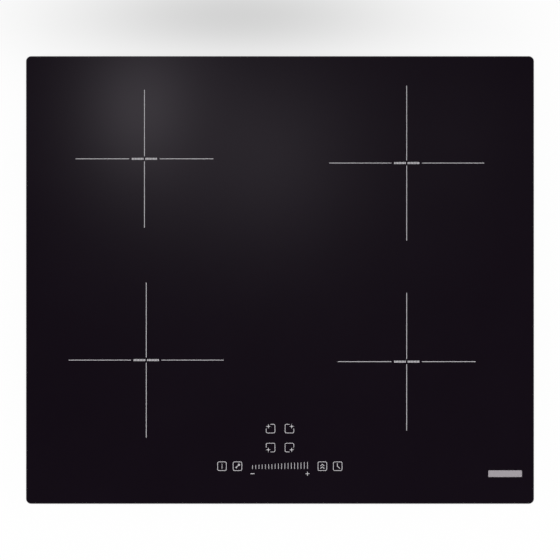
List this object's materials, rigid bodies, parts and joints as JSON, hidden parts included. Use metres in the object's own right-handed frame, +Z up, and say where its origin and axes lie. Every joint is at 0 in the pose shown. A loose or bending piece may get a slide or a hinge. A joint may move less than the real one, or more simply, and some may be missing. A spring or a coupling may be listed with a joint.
{
  "type": "induction cooktop",
  "caption": "Built-in induction cooktop: black ceramic glass with marked cooking zones and touch keys, over a steel pan with sprung coils, blowers, power boards and swivel worktop clamps.",
  "frame": {"origin": "centre of the pan underside, at the middle of the plan", "axes": "+X to the right as the user stands, +Y to the back, +Z up"},
  "size_m": [0.59, 0.52, 0.06],
  "materials": {
    "black_glass": "polished opaque black ceramic glass",
    "seal_foam": "matt closed-cell foam",
    "silicone": "matt silicone",
    "galvanised_steel": "galvanised sheet",
    "zinc_steel": "zinc plated",
    "sheet_aluminium": "mill finish",
    "circuit_board": "green solder mask",
    "black_plastic": "fine moulded texture",
    "grey_plastic": "fine moulded texture",
    "cream_plastic": "smooth moulded",
    "capacitor_case": "smooth",
    "copper_litz": "stranded copper",
    "ferrite": "matt",
    "mica": "matt",
    "white_silicone": "matt silicone",
    "lamp_plastic": "smoked",
    "ribbon": "smooth"
  },
  "bodies": {
    "housing": {"glass_top": "black_glass", "rim_gasket": "seal_foam", "bond_bead": "silicone", "glass_frame": "galvanised_steel", "base_pan": "galvanised_steel", "coil_tray": "sheet_aluminium", "board_posts": "cream_plastic", "power_transistors": "black_plastic", "bridge_rectifiers": "black_plastic", "film_capacitors": "capacitor_case", "filter_chokes": "ferrite", "terminal_box": "grey_plastic", "terminal_block": "cream_plastic", "cable_bush": "black_plastic", "control_tray": "black_plastic", "control_board": "circuit_board", "display_modules": "lamp_plastic", "touch_foam": "seal_foam", "ribbon_cable": "ribbon", "clamp_studs": "zinc_steel", "heatsinks": "sheet_aluminium", "blower_covers": "black_plastic", "blower_motors": "zinc_steel", "power_board_left": "circuit_board", "power_board_right": "circuit_board", "blower_housing_left": "black_plastic", "blower_housing_right": "black_plastic", "coil_springs_back_left": "zinc_steel", "coil_springs_back_right": "zinc_steel", "coil_springs_front_left": "zinc_steel", "coil_springs_front_right": "zinc_steel"},
    "terminal_lid": {"terminal_lid": "grey_plastic"},
    "blower_rotor_left": {"blower_rotor_left": "black_plastic"},
    "blower_rotor_right": {"blower_rotor_right": "black_plastic"},
    "coil_back_left": {"coil_carrier_back_left": "black_plastic", "coil_winding_back_left": "copper_litz", "ferrite_bars_back_left": "ferrite", "insulation_disc_back_left": "mica", "heat_sensor_back_left": "white_silicone"},
    "coil_back_right": {"coil_carrier_back_right": "black_plastic", "coil_winding_back_right": "copper_litz", "ferrite_bars_back_right": "ferrite", "insulation_disc_back_right": "mica", "heat_sensor_back_right": "white_silicone"},
    "coil_front_left": {"coil_carrier_front_left": "black_plastic", "coil_winding_front_left": "copper_litz", "ferrite_bars_front_left": "ferrite", "insulation_disc_front_left": "mica", "heat_sensor_front_left": "white_silicone"},
    "coil_front_right": {"coil_carrier_front_right": "black_plastic", "coil_winding_front_right": "copper_litz", "ferrite_bars_front_right": "ferrite", "insulation_disc_front_right": "mica", "heat_sensor_front_right": "white_silicone"},
    "clamp_back_left": {"worktop_clamp_back_left": "zinc_steel"},
    "clamp_back_right": {"worktop_clamp_back_right": "zinc_steel"},
    "clamp_front_left": {"worktop_clamp_front_left": "zinc_steel"},
    "clamp_front_right": {"worktop_clamp_front_right": "zinc_steel"}
  },
  "joints": [
    {"name": "blower_spin_left", "type": "hinge", "parent": "housing", "child": "blower_rotor_left", "pos_m": [-0.14, 0.16, 0.018], "axis": [0, 0, 1], "continuous": true},
    {"name": "blower_spin_right", "type": "hinge", "parent": "housing", "child": "blower_rotor_right", "pos_m": [0.14, 0.16, 0.018], "axis": [0, 0, 1], "continuous": true},
    {"name": "coil_float_back_left", "type": "slide", "parent": "housing", "child": "coil_back_left", "axis": [0, 0, 1], "range_m": [-0.002, 0], "stiffness_N_per_m": 6000, "springref_m": 0.003, "deforming": ["coil_springs_back_left"]},
    {"name": "coil_float_back_right", "type": "slide", "parent": "housing", "child": "coil_back_right", "axis": [0, 0, 1], "range_m": [-0.002, 0], "stiffness_N_per_m": 6000, "springref_m": 0.003, "deforming": ["coil_springs_back_right"]},
    {"name": "coil_float_front_left", "type": "slide", "parent": "housing", "child": "coil_front_left", "axis": [0, 0, 1], "range_m": [-0.002, 0], "stiffness_N_per_m": 6000, "springref_m": 0.003, "deforming": ["coil_springs_front_left"]},
    {"name": "coil_float_front_right", "type": "slide", "parent": "housing", "child": "coil_front_right", "axis": [0, 0, 1], "range_m": [-0.002, 0], "stiffness_N_per_m": 6000, "springref_m": 0.003, "deforming": ["coil_springs_front_right"]},
    {"name": "clamp_swivel_back_left", "type": "hinge", "parent": "housing", "child": "clamp_back_left", "pos_m": [-0.257, 0.15, 0.023], "axis": [0, 0, -1], "range_deg": [0, 90]},
    {"name": "clamp_swivel_back_right", "type": "hinge", "parent": "housing", "child": "clamp_back_right", "pos_m": [0.257, 0.15, 0.023], "axis": [0, 0, 1], "range_deg": [0, 90]},
    {"name": "clamp_swivel_front_left", "type": "hinge", "parent": "housing", "child": "clamp_front_left", "pos_m": [-0.257, -0.15, 0.023], "axis": [0, 0, 1], "range_deg": [0, 90]},
    {"name": "clamp_swivel_front_right", "type": "hinge", "parent": "housing", "child": "clamp_front_right", "pos_m": [0.257, -0.15, 0.023], "axis": [0, 0, -1], "range_deg": [0, 90]},
    {"name": "terminal_lid_hinge", "type": "hinge", "parent": "housing", "child": "terminal_lid", "pos_m": [0, 0.186, 0.0024], "axis": [-1, 0, 0], "range_deg": [0, 100]}
  ]
}
